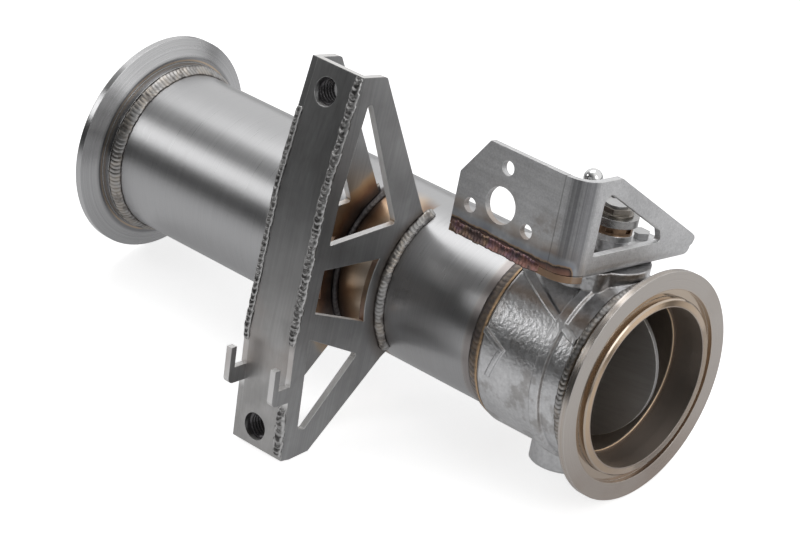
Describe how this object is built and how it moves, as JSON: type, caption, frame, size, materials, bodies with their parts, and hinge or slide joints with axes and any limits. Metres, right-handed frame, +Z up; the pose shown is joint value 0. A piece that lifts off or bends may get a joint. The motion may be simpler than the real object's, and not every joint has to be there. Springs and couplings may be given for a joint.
{
  "type": "exhaust flap valve",
  "caption": "Stainless exhaust tube with clamp flanges, a cast butterfly valve with a lever, a folded actuator bracket and a welded truss hanger.",
  "frame": {"origin": "centre of the front flange's flat sealing face, on the tube's axis", "axes": "+X along the tube, from the rear flange to the front flange, and out of the front face; +Z up as the part rests on a floor on both rims and the hanger's lower corner; -Y is the side that the hanger and the actuator face point to"},
  "size_m": [0.3012, 0.1544, 0.1705],
  "materials": {
    "tube_steel": "satin stainless tube with round-going grain",
    "flange_steel": "machined stainless, bright turned face",
    "cast_steel": "silver stainless casting with a fine bumpy skin",
    "weld_metal": "rippled weld bead, silver with darker edges",
    "tinted_weld": "rippled weld bead with brown and blue heat tint",
    "plate_steel": "laser-cut sheet, satin grey with bright cut edges",
    "bracket_steel": "folded sheet, fine matte grey",
    "disc_steel": "dark grey rolled sheet with a bright edge",
    "shaft_steel": "ground stainless",
    "lever_steel": "satin stamped steel",
    "polished_steel": "polished",
    "heated_steel": "dark brown heat-tinted steel",
    "bush_bronze": "sintered bronze",
    "graphite": "pressed graphite packing, matte dark grey"
  },
  "bodies": {
    "housing": {"main_tube": "tube_steel", "rear_flange": "flange_steel", "front_flange": "flange_steel", "rear_flange_weld": "weld_metal", "collar_weld": "tinted_weld", "front_flange_weld": "weld_metal", "valve_body": "cast_steel", "upper_bush": "bush_bronze", "lower_bush": "bush_bronze", "shaft_seal": "graphite", "shaft_end_plug": "shaft_steel", "actuator_bracket": "bracket_steel", "bracket_screws": "shaft_steel", "bracket_seam_weld": "tinted_weld", "hanger_face_plate": "plate_steel", "hanger_near_plate": "plate_steel", "hanger_far_plate": "plate_steel", "hanger_upper_boss": "shaft_steel", "hanger_lower_boss": "shaft_steel", "boss_welds": "weld_metal", "near_seam_weld": "weld_metal", "far_seam_weld": "weld_metal", "near_tube_weld": "weld_metal", "far_tube_weld": "weld_metal"},
    "flap": {"valve_shaft": "shaft_steel", "valve_disc": "disc_steel", "disc_screws": "shaft_steel", "thrust_washer": "polished_steel", "castellated_ring": "heated_steel", "lever": "lever_steel", "lever_nut": "heated_steel", "ball_stud": "polished_steel"}
  },
  "joints": [
    {"name": "flap_hinge", "type": "hinge", "parent": "housing", "child": "flap", "pos_m": [-0.0345, 0, 0], "axis": [0, 0.2275, 0.9738], "range_deg": [0, 77]}
  ]
}
